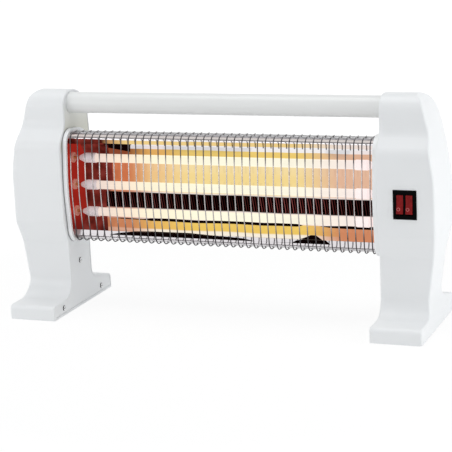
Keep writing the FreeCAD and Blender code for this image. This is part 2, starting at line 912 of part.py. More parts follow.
def tip_plunger():
    """The pin that the floor holds up: a foot, a collar and a domed stem."""
    shaft = rod_z(plunger_diameter, 0, plunger_collar_z, plunger_x, plunger_y)
    collar_top = plunger_collar_z + plunger_collar_height
    collar = rod_z(plunger_collar, plunger_collar_z, collar_top, plunger_x, plunger_y)
    dome_z = plunger_top_z - plunger_stem / 2
    stem = rod_z(plunger_stem, collar_top, dome_z, plunger_x, plunger_y)
    dome = Part.makeSphere(plunger_stem / 2, Vector(plunger_x, plunger_y, dome_z))
    return shaft.fuse(collar).fuse(stem).fuse(dome).removeSplitter()


def plunger_spring():
    """The outside shape of the plunger's spring, between its collar and the bracket's tab."""
    low_z = plunger_collar_z + plunger_collar_height + spring_end_gap
    high_z = tab_z - spring_end_gap
    sleeve = rod_z(spring_outer, low_z, high_z, plunger_x, plunger_y)
    return sleeve.cut(rod_z(spring_inner, low_z - cut_overrun, high_z + cut_overrun, plunger_x, plunger_y))


def micro_back_y():
    return plunger_y + micro_thickness / 2


def bracket_left_x():
    return plunger_x + bracket_reach - bracket_width


def tip_bracket():
    """A bent steel bracket: base on the foot, upright for the switch, tab over the spring."""
    left = bracket_left_x()
    right = left + bracket_width
    back = micro_back_y()
    base = block((left, back, wall), (right, back + bracket_base_depth, wall + bracket_sheet))
    upright = block((left, back, wall), (right, back + bracket_sheet, bracket_top_z))
    half = bracket_tab_width / 2
    tab = block(
        (plunger_x - half, plunger_y - half, tab_z),
        (plunger_x + half, back + bracket_sheet, tab_z + bracket_sheet))
    notch_half = guide_diameter / 2 + fit_gap * 2
    notch = block(
        (plunger_x - notch_half, plunger_y, 0), (plunger_x + notch_half, plunger_y + notch_half, tab_z))
    solid = base.fuse(upright).cut(notch).fuse(tab)
    solid = solid.cut(rod_z(
        plunger_stem + fit_gap * 4, tab_z - cut_overrun, tab_z + bracket_sheet + cut_overrun,
        plunger_x, plunger_y))
    for x in bracket_screw_places():
        solid = solid.cut(rod_z(
            screw_shank + running_gap * 2, 0, wall + bracket_sheet + cut_overrun, x, bracket_screw_y()))
    return solid.removeSplitter()


def bracket_screw_places():
    middle = bracket_left_x() + bracket_width / 2
    return [middle - bracket_screw_offset, middle + bracket_screw_offset]


def bracket_screw_y():
    return micro_back_y() + bracket_sheet + (bracket_base_depth - bracket_sheet) / 2


def bracket_screws():
    """Pan-head screws through the bracket's base into the foot."""
    screws = []
    seat_z = wall + bracket_sheet
    for x in bracket_screw_places():
        head = rod_z(screw_head, seat_z, seat_z + screw_head_height, x, bracket_screw_y())
        shank = rod_z(screw_shank, wall, seat_z, x, bracket_screw_y())
        screws.append(head.fuse(shank).removeSplitter())
    return group(screws)


def lever_pivot_x():
    return plunger_x - lever_arm


def lever_pivot_z():
    return plunger_top_z + lever_gap + lever_eye / 2


def micro_bottom():
    return lever_pivot_z() + lever_eye / 2 + lever_gap


def micro_top():
    return micro_bottom() + micro_height


def microswitch():
    """The small snap switch with two lugs for its lever and a button above it."""
    front = micro_back_y() - micro_thickness
    start_x = lever_pivot_x() - lever_eye / 2
    body = block((start_x, front, micro_bottom()), (start_x + micro_length, micro_back_y(), micro_top()))
    lug_low = lever_pivot_z() - lever_eye / 2
    for y in (front, micro_back_y() - micro_lug):
        body = body.fuse(block(
            (start_x, y, lug_low), (start_x + lever_eye, y + micro_lug, micro_bottom())))
    button_x = lever_pivot_x() + lever_arm / 2
    button_low = lever_pivot_z() - lever_eye / 2 + lever_thickness + lever_gap
    body = body.fuse(rod_z(micro_button, button_low, micro_bottom(), button_x, plunger_y))
    body = body.cut(rod_y(
        lever_pin_diameter + running_gap * 2, front - cut_overrun, micro_back_y() + cut_overrun,
        lever_pivot_x(), lever_pivot_z()))
    return body.removeSplitter()


def micro_lever():
    """The switch's flat lever with a rolled eye, resting just above the plunger."""
    low = lever_pivot_z() - lever_eye / 2
    half = lever_width / 2
    strip = block(
        (lever_pivot_x(), plunger_y - half, low),
        (plunger_x + lever_tail, plunger_y + half, low + lever_thickness))
    eye = rod_y(lever_eye, plunger_y - half, plunger_y + half, lever_pivot_x(), lever_pivot_z())
    bore = rod_y(
        lever_pin_diameter + running_gap * 2, plunger_y - lever_width, plunger_y + lever_width,
        lever_pivot_x(), lever_pivot_z())
    return strip.fuse(eye).cut(bore).removeSplitter()


def lever_pin():
    front = micro_back_y() - micro_thickness
    return rod_y(lever_pin_diameter, front, micro_back_y(), lever_pivot_x(), lever_pivot_z())


def terminal_block():
    """The mains terminal block on the back of the right cover."""
    half = block_length / 2
    body = block(
        (cover_back_x, block_y - half, block_z - block_height / 2),
        (cover_back_x + block_depth, block_y + half, block_z + block_height / 2))
    middle_x = cover_back_x + block_depth / 2
    for y in block_poles():
        body = body.cut(rod_z(block_hole, 0, overall_height, middle_x, y))
        body = body.cut(rod_x(screw_shank + running_gap * 2, middle_x, overall_width, y, block_z))
    return body


def block_poles():
    return [block_y - block_screw_pitch / 2, block_y + block_screw_pitch / 2]


def block_screws():
    """Clamp screws, one for each pole of the block."""
    face_x = cover_back_x + block_depth
    middle_x = cover_back_x + block_depth / 2 + block_hole / 2
    screws = []
    for y in block_poles():
        screw = rod_x(screw_shank, middle_x, face_x, y, block_z)
        slot = block(
            (face_x - screw_slot_depth, y - screw_shank, block_z - screw_slot / 2),
            (face_x + cut_overrun, y + screw_shank, block_z + screw_slot / 2))
        screws.append(screw.cut(slot))
    return group(screws)


def cord_gland():
    """The rubber bush of the mains inlet, snapped into the rear of the right casing."""
    outside = bulge_rear + gland_flange
    inside = bulge_rear - wall - gland_flange - fit_gap
    solid = rod_y(gland_outer, bulge_rear, outside, gland_x, gland_z)
    solid = solid.fuse(rod_y(gland_neck, inside, outside, gland_x, gland_z))
    solid = solid.fuse(rod_y(gland_outer, inside, inside + gland_flange, gland_x, gland_z))
    bore = rod_y(gland_bore, inside - cut_overrun, outside + cut_overrun, gland_x, gland_z)
    return solid.cut(bore).removeSplitter()


def lead(points):
    return bent_tube(points, lead_diameter, lead_bend)


def neutral_lead():
    """From the common link, behind the reflector, to the rear pole of the terminal block."""
    link_mid_x = link_x + link_thickness / 2
    tag_end_y = tube_y + common_tag_reach
    pole_x = cover_back_x + block_depth / 2
    pole_y = block_poles()[1]
    drop_x = pole_x + lead_bend
    block_top = block_z + block_height / 2
    return lead([
        (-link_mid_x, tag_end_y, drum_centre_z),
        (-link_mid_x, neutral_lead_y, drum_centre_z),
        (drop_x, neutral_lead_y, drum_centre_z),
        (drop_x, pole_y, tube_levels[2]),
        (pole_x, pole_y, block_top + lead_bend),
        (pole_x, pole_y, block_top - block_hole / 2)])


def live_lead():
    """From the front pole of the terminal block, ahead of the leg post, to the tip-over switch."""
    pole_x = cover_back_x + block_depth / 2
    pole_y = block_poles()[0]
    block_bottom = block_z - block_height / 2
    below_block_z = block_bottom - live_lead_drop
    ahead_of_post_y = leg_screw_y - post_diameter / 2 - lead_diameter
    landing_x = lever_pivot_x() + lead_diameter
    landing_z = micro_top() - live_landing_drop
    return lead([
        (pole_x, pole_y, block_bottom + block_hole / 2),
        (pole_x, pole_y, below_block_z),
        (landing_x, ahead_of_post_y, below_block_z),
        (landing_x, ahead_of_post_y, landing_z),
        (landing_x, micro_back_y() - micro_thickness, landing_z)])


def blade_end(column, row):
    """The free end of one switch blade."""
    z = switch_z + (row - (blade_rows - 1) / 2) * blade_row_pitch
    return rocker_places()[column], bezel_back_y() + switch_body_depth + blade_length, z


def feed_lead():
    """From the tip-over switch up to the rockers' middle blade."""
    x, y, z = blade_end(0, 1)
    return lead([
        (plunger_x, plunger_y, micro_top()),
        (plunger_x, plunger_y, micro_top() + lead_bend),
        (x, plunger_y, (micro_top() + z) / 2),
        (x, plunger_y, z),
        (x, y, z)])


def pair_lead():
    """From the left rocker's upper blade to the link of the upper and lower tubes."""
    x, y, z = blade_end(0, 2)
    link_y = tube_y - link_sidestep
    landing_z = (tube_levels[0] + tube_levels[1]) / 2
    bend_x = link_x + link_thickness + lead_bend
    return lead([
        (x, y, z),
        (x, y + lead_bend, z),
        (bend_x, y + lead_bend, landing_z),
        (bend_x, link_y, landing_z),
        (link_x + link_thickness, link_y, landing_z)])


def middle_lead():
    """From the right rocker's upper blade to the middle tube's tag."""
    x, y, z = blade_end(1, 2)
    tag_y = tube_y + link_sidestep - lead_diameter
    return lead([
        (x, y, z),
        (x, tag_y, z),
        (link_x + link_thickness + lead_bend * 2, tag_y, tube_levels[1]),
        (link_x + link_thickness, tag_y, tube_levels[1])])


def export(name, shape):
    shape.exportStep("parts/" + name + ".step")
    print(name, len(shape.Solids), shape.isValid(), round(shape.Volume))


os.makedirs("parts", exist_ok=True)
left_casing = mirrored(plain_casing())
export("left_casing", left_casing)
export("right_casing", right_casing())
cover = inner_cover()
export("left_inner_cover", mirrored(cover))
export("right_inner_cover", cover)
screws = cover_screws()
export("left_cover_screws", mirrored(screws))
export("right_cover_screws", screws)
export("guard_wires", guard_wires())
export("guard_rods", guard_rods())
export("reflector", reflector())
export("back_panel", back_panel())
plate = end_plate()
export("left_end_plate", mirrored(plate))
export("right_end_plate", plate)
for place, z in zip(("upper", "middle", "lower"), tube_levels):
    export(place + "_quartz_tube", quartz_tube(z))
    export(place + "_heating_coil", heating_coil(z))
for name, shape in (
        ("tube_caps", tube_caps()), ("terminal_pins", terminal_pins()),
        ("ceramic_bushes", ceramic_bushes()), ("pin_nuts", pin_nuts())):
    export("left_" + name, mirrored(shape))
    export("right_" + name, shape)
export("common_link", mirrored(common_link()))
export("outer_pair_link", outer_pair_link())
export("middle_link", middle_link())
export("handle_tube", handle_tube())
export("handle_tie_rod", handle_tie_rod())
export("handle_washers", handle_washers())
export("handle_nuts", handle_nuts())
export("switch_housing", switch_housing())
for name, x in zip(("left_rocker", "right_rocker"), rocker_places()):
    export(name, rocker(x))
export("rocker_pin", rocker_pin_rod())
export("switch_blades", switch_blades())
export("tip_plunger", tip_plunger())
export("plunger_spring", plunger_spring())
export("tip_bracket", tip_bracket())
export("bracket_screws", bracket_screws())
export("microswitch", microswitch())
export("micro_lever", micro_lever())
export("lever_pin", lever_pin())
export("terminal_block", terminal_block())
export("block_screws", block_screws())
export("cord_gland", cord_gland())
export("neutral_lead", neutral_lead())
export("live_lead", live_lead())
export("feed_lead", feed_lead())
export("pair_lead", pair_lead())
export("middle_lead", middle_lead())
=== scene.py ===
import math

import bmesh
import bpy
from mathutils import Matrix, Vector
from mathutils.bvhtree import BVHTree


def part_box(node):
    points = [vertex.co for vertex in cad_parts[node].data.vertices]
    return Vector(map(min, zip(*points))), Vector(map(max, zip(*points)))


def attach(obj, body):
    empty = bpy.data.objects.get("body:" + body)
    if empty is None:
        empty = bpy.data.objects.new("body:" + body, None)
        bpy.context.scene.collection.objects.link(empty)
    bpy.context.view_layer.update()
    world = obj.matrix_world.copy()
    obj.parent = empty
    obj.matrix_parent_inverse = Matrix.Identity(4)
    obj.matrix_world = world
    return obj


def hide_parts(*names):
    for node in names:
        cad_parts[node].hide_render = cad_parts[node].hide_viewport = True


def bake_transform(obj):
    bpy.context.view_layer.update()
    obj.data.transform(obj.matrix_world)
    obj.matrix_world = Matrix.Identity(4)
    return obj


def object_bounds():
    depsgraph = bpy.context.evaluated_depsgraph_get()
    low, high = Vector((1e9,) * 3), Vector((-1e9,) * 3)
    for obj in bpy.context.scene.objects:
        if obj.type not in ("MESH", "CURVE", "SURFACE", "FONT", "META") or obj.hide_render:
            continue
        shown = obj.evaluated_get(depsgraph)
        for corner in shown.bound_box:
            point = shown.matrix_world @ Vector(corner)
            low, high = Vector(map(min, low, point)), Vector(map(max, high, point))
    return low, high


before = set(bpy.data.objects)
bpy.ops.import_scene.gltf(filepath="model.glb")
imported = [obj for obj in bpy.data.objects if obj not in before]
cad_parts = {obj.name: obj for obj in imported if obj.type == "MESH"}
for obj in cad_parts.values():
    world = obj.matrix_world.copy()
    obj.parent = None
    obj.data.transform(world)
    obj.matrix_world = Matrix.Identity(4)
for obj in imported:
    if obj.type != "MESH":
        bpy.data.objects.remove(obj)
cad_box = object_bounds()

# The camera: it stands in front and to the right, at twice the heater's height, with a long lens.
# It looks back towards the drum, so that the outer side of the right leg shows as well.
camera_place = Vector((0.6307, -1.5999, 0.5023))
camera_turn = 0.376
camera_fall = 0.230
camera_roll = -0.047
picture_pixels = 452
focal_pixels = 1597.2
sensor_width = 36
forward = Vector((
    -math.sin(camera_turn) * math.cos(camera_fall),
    math.cos(camera_turn) * math.cos(camera_fall),
    -math.sin(camera_fall)))
sideways = Vector((math.cos(camera_turn), math.sin(camera_turn), 0))
upwards = sideways.cross(forward)
picture_right = sideways * math.cos(camera_roll) + upwards * math.sin(camera_roll)
picture_up = upwards * math.cos(camera_roll) - sideways * math.sin(camera_roll)
camera_data = bpy.data.cameras.new("camera")
camera_data.sensor_width = sensor_width
camera_data.lens = sensor_width * focal_pixels / picture_pixels
camera = bpy.data.objects.new("camera", camera_data)
facing = Matrix((picture_right, picture_up, -forward)).transposed().to_4x4()
camera.matrix_world = Matrix.Translation(camera_place) @ facing
bpy.context.scene.collection.objects.link(camera)
bpy.context.scene.camera = camera
bpy.context.scene.view_settings.view_transform = "Standard"


# The studio: a white sweep under and behind the heater, a white room and four soft lamps.
# The sweep takes a faint shadow near the heater and fades to white away from it.
# What looks at the room directly, in a mirror or through glass sees white.
def place_node(tree, kind, **values):
    """Adds a shader node and sets its unlinked inputs by name."""
    made = tree.nodes.new(kind)
    for name, value in values.items():
        made.inputs[name.replace("_", " ")].default_value = value
    return made


def sum_node(tree, operation, *terms):
    """One sum on sockets or numbers."""
    made = tree.nodes.new("ShaderNodeMath")
    made.operation = operation
    for socket, term in zip(made.inputs, terms):
        if isinstance(term, (int, float)):
            socket.default_value = term
        else:
            tree.links.new(term, socket)
    return made.outputs[0]


def coordinates(tree, output="Object"):
    """One output of Texture Coordinate."""
    return tree.nodes.new("ShaderNodeTexCoord").outputs[output]


def seen_directly(tree):
    """One for camera, mirror and glass rays, and nought for the rest."""
    rays = tree.nodes.new("ShaderNodeLightPath").outputs
    mirror_or_glass = sum_node(tree, "MAXIMUM", rays["Is Glossy Ray"], rays["Is Transmission Ray"])
    return sum_node(tree, "MAXIMUM", rays["Is Camera Ray"], mirror_or_glass)


def add_object(name, shape, material):
    """Makes an object of a finished bmesh, with one material."""
    mesh = bpy.data.meshes.new(name)
    shape.to_mesh(mesh)
    shape.free()
    mesh.materials.append(material)
    made = bpy.data.objects.new(name, mesh)
    bpy.context.scene.collection.objects.link(made)
    return made


sweep_size = 6.0
sweep_drop = 0.0004
sweep_glow = 0.885
shadow_reach, shadow_end = 0.4, 1.0
sweep_take = (0.12, 0.12, 0.12, 1)
sweep_white = (0.8, 0.8, 0.8, 1)
sweep_fill = 0.2
sweep_paper = bpy.data.materials.new("sweep_paper")
sweep_paper.use_nodes = True
tree = sweep_paper.node_tree
tree.nodes.clear()
link = tree.links.new
paper_white = place_node(tree, "ShaderNodeBsdfDiffuse", Color=sweep_white)
paper_fill = place_node(tree, "ShaderNodeEmission", Strength=sweep_fill)
paper_lit = tree.nodes.new("ShaderNodeAddShader")
paper_reach = tree.nodes.new("ShaderNodeVectorMath")
paper_reach.operation = "LENGTH"
paper_tone = place_node(
    tree, "ShaderNodeMapRange", From_Min=shadow_reach, From_Max=shadow_end, To_Min=sweep_glow, To_Max=1)
paper_glow = place_node(tree, "ShaderNodeEmission", Strength=1)
paper_shadow = place_node(tree, "ShaderNodeBsdfDiffuse", Color=sweep_take)
paper_seen = tree.nodes.new("ShaderNodeAddShader")
paper_mix = tree.nodes.new("ShaderNodeMixShader")
paper_out = tree.nodes.new("ShaderNodeOutputMaterial")
link(paper_white.outputs[0], paper_lit.inputs[0])
link(paper_fill.outputs[0], paper_lit.inputs[1])
link(coordinates(tree), paper_reach.inputs[0])
link(paper_reach.outputs["Value"], paper_tone.inputs["Value"])
link(paper_tone.outputs[0], paper_glow.inputs["Color"])
link(paper_shadow.outputs[0], paper_seen.inputs[0])
link(paper_glow.outputs[0], paper_seen.inputs[1])
link(seen_directly(tree), paper_mix.inputs[0])
link(paper_lit.outputs[0], paper_mix.inputs[1])
link(paper_seen.outputs[0], paper_mix.inputs[2])
link(paper_mix.outputs[0], paper_out.inputs["Surface"])
bm = bmesh.new()
bmesh.ops.create_grid(bm, x_segments=2, y_segments=2, size=sweep_size)
bmesh.ops.translate(bm, verts=bm.verts, vec=(0, 0, -sweep_drop))
sweep = add_object("studio_sweep", bm, sweep_paper)

room_light = 0.50
room_tint = (0.97, 0.985, 1, 1)
room = bpy.data.worlds.new("white_room")
room.use_nodes = True
bpy.context.scene.world = room
tree = room.node_tree
tree.nodes.clear()
link = tree.links.new
room_soft = place_node(tree, "ShaderNodeBackground", Color=room_tint, Strength=room_light)
room_seen = place_node(tree, "ShaderNodeBackground", Color=(1, 1, 1, 1), Strength=1)
room_mix = tree.nodes.new("ShaderNodeMixShader")
room_out = tree.nodes.new("ShaderNodeOutputWorld")
link(seen_directly(tree), room_mix.inputs[0])
link(room_soft.outputs[0], room_mix.inputs[1])
link(room_seen.outputs[0], room_mix.inputs[2])
link(room_mix.outputs[0], room_out.inputs["Surface"])

drum_middle = Vector((0, 0, 0.14))
for name, place, size, power in (
        ("key_lamp", Vector((-0.2, -1.4, 1.9)), 1.6, 1.5),
        ("front_lamp", Vector((-1.4, -1.4, 0.08)), 1.4, 15),
        ("side_lamp", Vector((1.0, 0, 0.33)), 0.6, 3.2),
        ("top_lamp", Vector((-0.3, -0.1, 2.2)), 1.4, 18)):
    lamp_data = bpy.data.lights.new(name, "AREA")
    lamp_data.size = size
    lamp_data.energy = power
    lamp = bpy.data.objects.new(name, lamp_data)
    aim = (drum_middle - place).to_track_quat("-Z", "Y").to_matrix().to_4x4()
    lamp.matrix_world = Matrix.Translation(place) @ aim
    bpy.context.scene.collection.objects.link(lamp)


# The side casings: injection-moulded white plastic with a fine spark grain.
# Each is one deep shell, open towards the drum and closed by its inner cover.
def new_socket(group, name, direction, kind, value=None):
    """Adds one socket to a node group, with its value where it is an input."""
    socket = group.interface.new_socket(name, in_out=direction, socket_type="NodeSocket" + kind)
    if value is not None:
        socket.default_value = value


def moulded_skin_group():
    """The skin of a moulding: a slow drift of tone and a fine grain left by the tool."""
    group = bpy.data.node_groups.new("moulded_skin", "ShaderNodeTree")
    new_socket(group, "Colour", "INPUT", "Color", (0.8, 0.8, 0.8, 1))
    new_socket(group, "Drift Scale", "INPUT", "Float", 9)
    new_socket(group, "Drift", "INPUT", "Float", 0.03)
    new_socket(group, "Grain Scale", "INPUT", "Float", 1500)
    new_socket(group, "Grain Depth", "INPUT", "Float", 0.1)
    new_socket(group, "Roughness", "INPUT", "Float", 0.4)
    new_socket(group, "Colour", "OUTPUT", "Color")
    new_socket(group, "Roughness", "OUTPUT", "Float")
    new_socket(group, "Normal", "OUTPUT", "Vector")
    noise_middle = 0.5
    roughness_swing = 0.12
    given = group.nodes.new("NodeGroupInput").outputs
    result = group.nodes.new("NodeGroupOutput").inputs
    place = coordinates(group)
    drift = place_node(group, "ShaderNodeTexNoise", Detail=2, Roughness=0.5)
    grain = place_node(group, "ShaderNodeTexNoise", Detail=3, Roughness=0.6)
    centred = sum_node(group, "SUBTRACT", drift.outputs[0], noise_middle)
    swing = sum_node(group, "MULTIPLY_ADD", centred, given["Drift"], 1)
    shade = place_node(group, "ShaderNodeHueSaturation", Hue=0.5, Saturation=1, Fac=1)
    rough = sum_node(group, "MULTIPLY_ADD", centred, roughness_swing, given["Roughness"])
    bump = place_node(group, "ShaderNodeBump", Distance=0.0002)
    link = group.links.new
    link(place, drift.inputs["Vector"])
    link(place, grain.inputs["Vector"])
    link(given["Drift Scale"], drift.inputs["Scale"])
    link(given["Grain Scale"], grain.inputs["Scale"])
    link(swing, shade.inputs["Value"])
    link(given["Colour"], shade.inputs["Color"])
    link(grain.outputs[0], bump.inputs["Height"])
    link(given["Grain Depth"], bump.inputs["Strength"])
    link(shade.outputs[0], result["Colour"])
    link(rough, result["Roughness"])
    link(bump.outputs[0], result["Normal"])
    return group


def surface_from_group(name, group, **values):
    """A material whose colour, roughness and normal come from one shared group."""
    material = bpy.data.materials.new(name)
    material.use_nodes = True
    tree = material.node_tree
    shader = tree.nodes["Principled BSDF"]
    skin = tree.nodes.new("ShaderNodeGroup")
    skin.node_tree = group
    for key, value in values.items():
        socket = skin.inputs[key.replace("_", " ")]
        socket.default_value = (*value, 1) if socket.type == "RGBA" else value
    tree.links.new(skin.outputs["Colour"], shader.inputs["Base Color"])
    tree.links.new(skin.outputs["Roughness"], shader.inputs["Roughness"])
    tree.links.new(skin.outputs["Normal"], shader.inputs["Normal"])
    return material


def set_shader(material, **values):
    """Sets plain numbers and colours on a material's own shader."""
    shader = material.node_tree.nodes["Principled BSDF"]
    for name, value in values.items():
        shader.inputs[name.replace("_", " ")].default_value = value


def finish_nodes(material, *names):
    """Gives CAD nodes their finish."""
    for name in names:
        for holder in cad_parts[name].material_slots:
            holder.material = material


moulded_skin = moulded_skin_group()
casing_white = (0.79, 0.805, 0.815)
casing_plastic = surface_from_group(
    "casing_plastic", moulded_skin, Colour=casing_white,
    Drift_Scale=7, Drift=0.05, Grain_Scale=1600, Grain_Depth=0.12, Roughness=0.4)
set_shader(
    casing_plastic, Specular_IOR_Level=0.45, Subsurface_Weight=0.04,
    Subsurface_Radius=(0.004, 0.004, 0.004))
finish_nodes(casing_plastic, "left_casing", "right_casing")


# The inner covers: flat panels of the same plastic let into the casings and held by three screws.
# Above the drum they are painted darker and warmer: painted shade, with a warm painted reflection of the
# drum's glow.
# The raised oval rings are painted lighter as a painted highlight, and a painted shade line darkens the
# joint at the foot of the left ring.
def axes_of(tree, place):
    """The three axes of a place or a direction."""
    axes = tree.nodes.new("ShaderNodeSeparateXYZ")
    tree.links.new(place, axes.inputs[0])
    return axes.outputs


def ramp_node(tree, source, stops, smooth="LINEAR"):
    """Colours along one coordinate, from (place, colour) pairs. A share stands for a grey."""
    low, high = stops[0][0], stops[-1][0]
    span = place_node(tree, "ShaderNodeMapRange", From_Min=low, From_Max=high)
    made = tree.nodes.new("ShaderNodeValToRGB")
    ramp = made.color_ramp
    ramp.interpolation = smooth
    ramp.elements.remove(ramp.elements[-1])
    for number, (place, tone) in enumerate(stops):
        share = (place - low) / (high - low)
        stop = ramp.elements[0] if number == 0 else ramp.elements.new(share)
        stop.position = share
        stop.color = (*tone, 1) if isinstance(tone, tuple) else (tone, tone, tone, 1)
    tree.links.new(source, span.inputs["Value"])
    tree.links.new(span.outputs[0], made.inputs[0])
    return made.outputs[0]


def between(tree, value, low, high):
    """One where a value lies between two others."""
    above = sum_node(tree, "GREATER_THAN", value, low)
    return sum_node(tree, "MULTIPLY", above, sum_node(tree, "LESS_THAN", value, high))


def colour_node(tree, share, first, second, blend="MIX"):
    """Mixes two colours, each a socket or a plain colour, by a share that is a socket or a number."""
    made = tree.nodes.new("ShaderNodeMix")
    made.data_type = "RGBA"
    made.blend_type = blend
    for name, value in (("Factor", share), ("A", first), ("B", second)):
        socket = next(slot for slot in made.inputs if slot.name == name and slot.enabled)
        if isinstance(value, (int, float)):
            socket.default_value = value
        elif isinstance(value, tuple):
            socket.default_value = (*value, 1)
        else:
            tree.links.new(value, socket)
    return next(slot for slot in made.outputs if slot.enabled)


# Places up the panel, in metres, of the painted shade above the drum
cover_shade_tones = [
    (0.180, casing_white), (0.188, (0.64, 0.63, 0.55)), (0.204, (0.67, 0.665, 0.59)),
    (0.222, (0.74, 0.745, 0.70)), (0.240, casing_white)]
# A painted shade line along the joint at the foot of the left ring
joint_shade_grey = (0.27, 0.27, 0.275)
joint_far, joint_near = -0.1823, -0.1810
ring_foot = 0.1812
# The raised rings are painted lighter than the plastic, as a painted highlight
ring_highlight_white = (0.84, 0.85, 0.86)
cover_plastic = surface_from_group(
    "cover_plastic", moulded_skin,
    Drift_Scale=7, Drift=0.05, Grain_Scale=1600, Grain_Depth=0.12, Roughness=0.42)
tree = cover_plastic.node_tree
across, _, height = axes_of(tree, coordinates(tree))
painted_cover = ramp_node(tree, height, cover_shade_tones)
on_ring = sum_node(tree, "LESS_THAN", sum_node(tree, "ABSOLUTE", across), ring_foot)
painted_cover = colour_node(tree, on_ring, painted_cover, ring_highlight_white)
painted_cover = colour_node(tree, between(tree, across, joint_far, joint_near), painted_cover, joint_shade_grey)
tree.links.new(painted_cover, tree.nodes["Group"].inputs["Colour"])
finish_nodes(cover_plastic, "left_inner_cover", "right_inner_cover")


# The handle: a plain extruded tube with a satin off-white coat.
# The tie rod inside it pulls the two covers together and traps it between them.
handle_coat = surface_from_group(
    "handle_coat", moulded_skin, Colour=(0.76, 0.77, 0.765),
    Drift_Scale=12, Drift=0.04, Grain_Scale=2400, Grain_Depth=0.05, Roughness=0.33)
finish_nodes(handle_coat, "handle_tube")


# The guard: bowed steel wires with bright chrome, welded to a rod along the top and the bottom.
# Plated metal is a little uneven in tone, and finely drawn along its length.
# The wires' bends are painted dark, as a painted reflection of the dark drum.
def worked_metal_group():
    """Drawn, rolled or plated metal: uneven tone, and roughness that breaks up the shine."""
    group = bpy.data.node_groups.new("worked_metal", "ShaderNodeTree")
    new_socket(group, "Colour", "INPUT", "Color", (0.6, 0.6, 0.6, 1))
    new_socket(group, "Stain", "INPUT", "Color", (0.4, 0.4, 0.4, 1))
    new_socket(group, "Stretch", "INPUT", "Vector", (1, 1, 1))
    new_socket(group, "Scale", "INPUT", "Float", 120)
    new_socket(group, "Roughness", "INPUT", "Float", 0.2)
    new_socket(group, "Relief", "INPUT", "Float", 0.05)
    new_socket(group, "Colour", "OUTPUT", "Color")
    new_socket(group, "Roughness", "OUTPUT", "Float")
    new_socket(group, "Normal", "OUTPUT", "Vector")
    roughness_swing = 0.15
    given = group.nodes.new("NodeGroupInput").outputs
    result = group.nodes.new("NodeGroupOutput").inputs
    stretch = group.nodes.new("ShaderNodeVectorMath")
    stretch.operation = "MULTIPLY"
    noise = place_node(group, "ShaderNodeTexNoise", Detail=4, Roughness=0.6)
    spread = place_node(group, "ShaderNodeMapRange", From_Min=0.3, From_Max=0.75)
    tint = colour_node(group, spread.outputs[0], given["Colour"], given["Stain"])
    rough = sum_node(group, "MULTIPLY_ADD", spread.outputs[0], roughness_swing, given["Roughness"])
    bump = place_node(group, "ShaderNodeBump", Distance=0.0002)
    link = group.links.new
    link(coordinates(group), stretch.inputs[0])
    link(given["Stretch"], stretch.inputs[1])
    link(stretch.outputs[0], noise.inputs["Vector"])
    link(given["Scale"], noise.inputs["Scale"])
    link(noise.outputs[0], spread.inputs["Value"])
    link(noise.outputs[0], bump.inputs["Height"])
    link(given["Relief"], bump.inputs["Strength"])
    link(tint, result["Colour"])
    link(rough, result["Roughness"])
    link(bump.outputs[0], result["Normal"])
    return group


worked_metal = worked_metal_group()


def metal_surface(name, **values):
    """A metal with the worked skin."""
    material = surface_from_group(name, worked_metal, **values)
    set_shader(material, Metallic=1)
    return material


def tone_metal(material, tone, stain_loss):
    """Gives a metal a tone that changes over it, and a stain darker than that by a share."""
    tree = material.node_tree
    skin = tree.nodes["Group"]
    tree.links.new(tone, skin.inputs["Colour"])
    tree.links.new(colour_node(tree, stain_loss, tone, (0, 0, 0)), skin.inputs["Stain"])


chrome_middle = (0.55, 0.53, 0.54)
chrome_reflection_dark = (0.10, 0.095, 0.10)
# Places up the guard, in metres, of the painted reflection
chrome_reflection_tones = [
    (0.098, chrome_reflection_dark), (0.110, chrome_middle), (0.172, chrome_middle), (0.182, chrome_reflection_dark),
    (0.2035, chrome_reflection_dark), (0.2055, chrome_middle)]
guard_chrome = metal_surface("guard_chrome", Scale=260, Roughness=0.16, Relief=0.02)
tree = guard_chrome.node_tree
height = axes_of(tree, coordinates(tree))["Z"]
tone_metal(guard_chrome, ramp_node(tree, height, chrome_reflection_tones), stain_loss=0.4)
finish_nodes(guard_chrome, "guard_wires")

rod_low, rod_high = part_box("guard_rods")
# The rods are painted from light at the bottom rod to dark at the top one, as painted shade
rod_shade_tones = [(rod_low.z, (0.66, 0.65, 0.66)), (rod_high.z, (0.36, 0.36, 0.37))]
rod_chrome = metal_surface(
    "rod_chrome", Stain=(0.40, 0.39, 0.40), Stretch=(0.1, 1, 1), Scale=260, Roughness=0.24, Relief=0.02)
tree = rod_chrome.node_tree
height = axes_of(tree, coordinates(tree))["Z"]
tree.links.new(ramp_node(tree, height, rod_shade_tones), tree.nodes["Group"].inputs["Colour"])
finish_nodes(rod_chrome, "guard_rods")


# The reflector: a trough of thin mirror-rolled sheet behind the tubes, with a lip at each edge.
# Its colours are painted reflections: the tubes as gold bands with dark ones between, the red end plate
# at its left end, and the wires and the room on its lips. Part of the painted colour glows, as painted
# light of the tubes.
mirror_white = (0.80, 0.77, 0.79)
shelf_white = (0.775, 0.716, 0.690)
strip_yellow = (0.80, 0.58, 0.24)
tube_pink = (0.92, 0.80, 0.74)
tube_white = (0.93, 0.82, 0.78)
cream = (0.94, 0.86, 0.74)
end_orange = (0.62, 0.25, 0.127)
right_copper = (0.77, 0.485, 0.337)
near_black = (0.004, 0.001, 0.001)
end_red = (0.17, 0.022, 0.016)
end_dark = (0.055, 0.007, 0.005)
end_light = (0.27, 0.05, 0.04)
rear_grey = (0.42, 0.42, 0.43)
painted_reflection_mirror = bpy.data.materials.new("painted_reflection_mirror")
painted_reflection_mirror.use_nodes = True
tree = painted_reflection_mirror.node_tree

